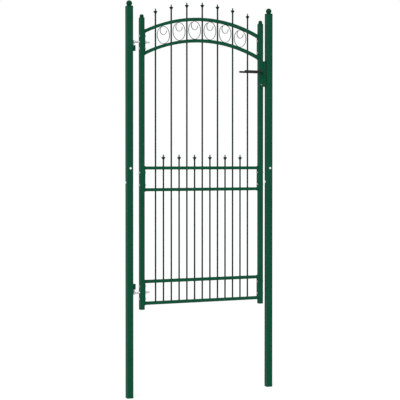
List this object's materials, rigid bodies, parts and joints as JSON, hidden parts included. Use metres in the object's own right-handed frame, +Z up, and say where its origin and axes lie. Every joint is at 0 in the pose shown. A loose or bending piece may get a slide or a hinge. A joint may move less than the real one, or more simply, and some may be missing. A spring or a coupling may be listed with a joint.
{
  "type": "garden gate",
  "caption": "Single-leaf metal garden gate hung between two square posts, with an arched top, spear-tipped round bars, a row of scrolls, adjustable pin hinges and a lever lock.",
  "frame": {"origin": "centre of the foot of the hinge post, on the post's lower end face", "axes": "+X from the hinge post to the lock post, -Y the front face seen in the picture, +Z up"},
  "size_m": [1.0163, 0.09, 2.494],
  "materials": {
    "green_coat": "moss green powder coat, semi-gloss",
    "zinc_plate": "bright zinc plate",
    "black_coat": "satin black coat",
    "nickel_plate": "satin nickel plate",
    "plug_plastic": "dark green moulded plastic"
  },
  "bodies": {
    "posts": {"hinge_post_bolts": "zinc_plate", "hinge_post_cap": "green_coat", "hinge_post_lower": "green_coat", "hinge_post_upper": "green_coat", "lock_post_bolts": "zinc_plate", "lock_post_cap": "green_coat", "lock_post_lower": "green_coat", "lock_post_upper": "green_coat", "lower_hinge_pin": "green_coat", "post_sleeves": "green_coat", "upper_hinge_pin": "green_coat"},
    "leaf": {"bottom_rail_lower": "green_coat", "bottom_rail_upper": "green_coat", "eyebolt_nuts": "zinc_plate", "hinge_side_bolts": "zinc_plate", "hinge_side_plates": "green_coat", "hinge_stile": "green_coat", "hinge_stile_cap": "green_coat", "lever_roses": "black_coat", "lock_case": "green_coat", "lock_cylinder": "nickel_plate", "lock_side_bolts": "zinc_plate", "lock_side_plates": "green_coat", "lock_stile": "green_coat", "lock_stile_cap": "green_coat", "long_bar_tips": "green_coat", "long_bars": "green_coat", "lower_arch": "green_coat", "lower_eyebolt": "zinc_plate", "middle_rail_lower": "green_coat", "middle_rail_upper": "green_coat", "scrolls": "green_coat", "short_bar_tips": "green_coat", "short_bars": "green_coat", "stile_plugs": "plug_plastic", "upper_arch": "green_coat", "upper_eyebolt": "zinc_plate"},
    "lever": {"front_lever": "black_coat", "back_lever": "black_coat"}
  },
  "joints": [
    {"name": "gate_swing", "type": "hinge", "parent": "posts", "child": "leaf", "pos_m": [0.032, 0, 1.4398], "axis": [0, 0, 1], "range_deg": [-90, 90]},
    {"name": "lever_turn", "type": "hinge", "parent": "leaf", "child": "lever", "pos_m": [0.9098, 0, 2.0624], "axis": [0, -1, 0], "range_deg": [0, 40], "stiffness_Nm_per_rad": 1, "springref_deg": -34.38}
  ]
}
